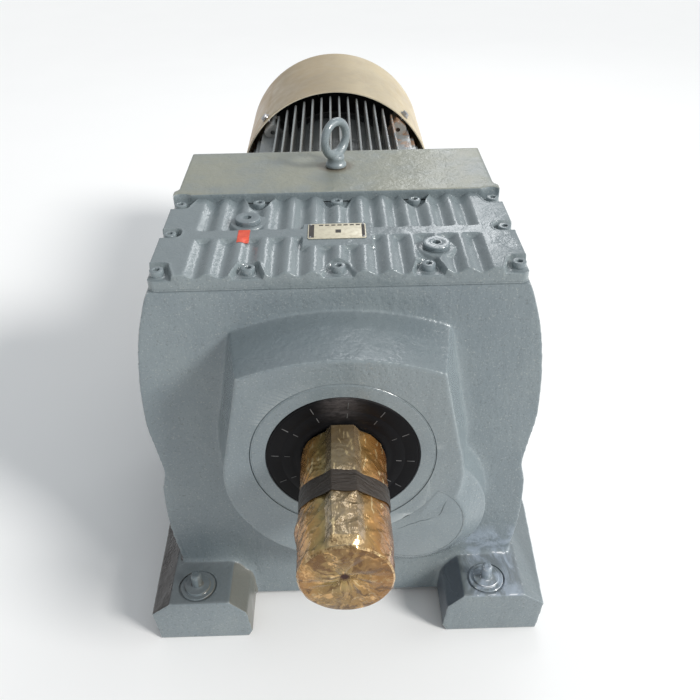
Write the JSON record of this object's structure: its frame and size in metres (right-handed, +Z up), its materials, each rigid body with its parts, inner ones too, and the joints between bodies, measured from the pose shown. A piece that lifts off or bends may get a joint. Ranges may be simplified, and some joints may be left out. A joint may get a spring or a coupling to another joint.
{
  "type": "inline gear reducer",
  "caption": "Foot-mounted inline helical gear unit with a keyed, film-wrapped output shaft, ribbed top cover, lifting eye and a flanged, fan-cooled motor behind it.",
  "frame": {"origin": "on the floor plane of the feet, under the middle of the whole object's box, below the output shaft's axis", "axes": "+Z up; -Y towards the output shaft's end, +Y towards the motor's fan; +X to the right as seen from the output shaft"},
  "size_m": [0.63, 1.459, 0.6733],
  "materials": {
    "enamel": "glossy grey enamel over rough cast iron, dusty on flat tops",
    "steel": "turned and lightly oiled",
    "gear_steel": "ground tooth faces",
    "bearing_steel": "polished",
    "dark_iron": "matt dark iron",
    "tan_sheet": "satin beige sheet, dusty",
    "black_rubber": "satin moulded rubber",
    "amber_film": "clear crinkled amber film",
    "dark_tape": "creased dark tape",
    "cream_plate": "printed cream plate, blank",
    "red_label": "plain red label",
    "gasket_paper": "compressed gasket sheet",
    "black_plastic": "moulded plastic"
  },
  "bodies": {
    "root": {"gear_housing": "enamel", "inspection_cover": "enamel", "cover_gasket": "gasket_paper", "breather_plug": "enamel", "oil_filler_plug": "enamel", "nameplate": "cream_plate", "marking_label": "red_label", "lifting_eyebolt": "enamel", "drain_plug": "steel", "oil_level_plug": "steel", "foot_washer_left": "enamel", "foot_stud_left": "enamel", "foot_washer_right": "enamel", "foot_stud_right": "enamel", "output_bearing_cover": "enamel", "output_seal": "black_rubber", "output_bearing_front": "bearing_steel", "output_bearing_rear": "bearing_steel", "intermediate_bearing_cap": "enamel", "intermediate_bearing_front": "bearing_steel", "intermediate_bearing_rear": "bearing_steel", "motor_flange": "enamel", "input_seal": "black_rubber", "stator_core": "dark_iron", "motor_bearing_front": "bearing_steel", "motor_bearing_rear": "bearing_steel", "motor_frame": "enamel", "motor_rear_shield": "dark_iron", "fan_cowl": "tan_sheet", "terminal_box": "enamel", "terminal_box_lid": "enamel", "cable_gland": "black_plastic", "cover_bolt_01": "enamel", "cover_bolt_02": "enamel", "cover_bolt_03": "enamel", "cover_bolt_04": "enamel", "cover_bolt_05": "enamel", "cover_bolt_06": "enamel", "cover_bolt_07": "enamel", "cover_bolt_08": "enamel", "cover_bolt_09": "enamel", "cover_bolt_10": "enamel", "cover_bolt_11": "enamel", "cover_bolt_12": "enamel", "cowl_screw_1": "steel", "cowl_screw_2": "steel", "cowl_screw_3": "steel", "cowl_screw_4": "steel"},
    "output": {"output_shaft": "steel", "output_key": "steel", "shaft_film": "amber_film", "tape_band": "dark_tape", "output_gear": "gear_steel"},
    "intermediate": {"intermediate_shaft": "gear_steel", "intermediate_gear": "gear_steel"},
    "motor_rotor": {"motor_shaft": "steel", "motor_pinion": "gear_steel", "rotor_core": "dark_iron", "fan": "black_plastic"}
  },
  "joints": [
    {"name": "output_spin", "type": "hinge", "parent": "root", "child": "output", "pos_m": [0, 0, 0.355], "axis": [0, 1, 0], "continuous": true},
    {"name": "intermediate_spin", "type": "hinge", "parent": "root", "child": "intermediate", "pos_m": [0.10111, 0, 0.22083], "axis": [0, 1, 0], "continuous": true},
    {"name": "motor_spin", "type": "hinge", "parent": "root", "child": "motor_rotor", "pos_m": [0, 0, 0.355], "axis": [0, 1, 0], "continuous": true}
  ],
  "couplings": [
    {"joint": "intermediate_spin", "follows": "output_spin", "ratio": -3.2727},
    {"joint": "motor_spin", "follows": "output_spin", "ratio": 9.4332}
  ]
}
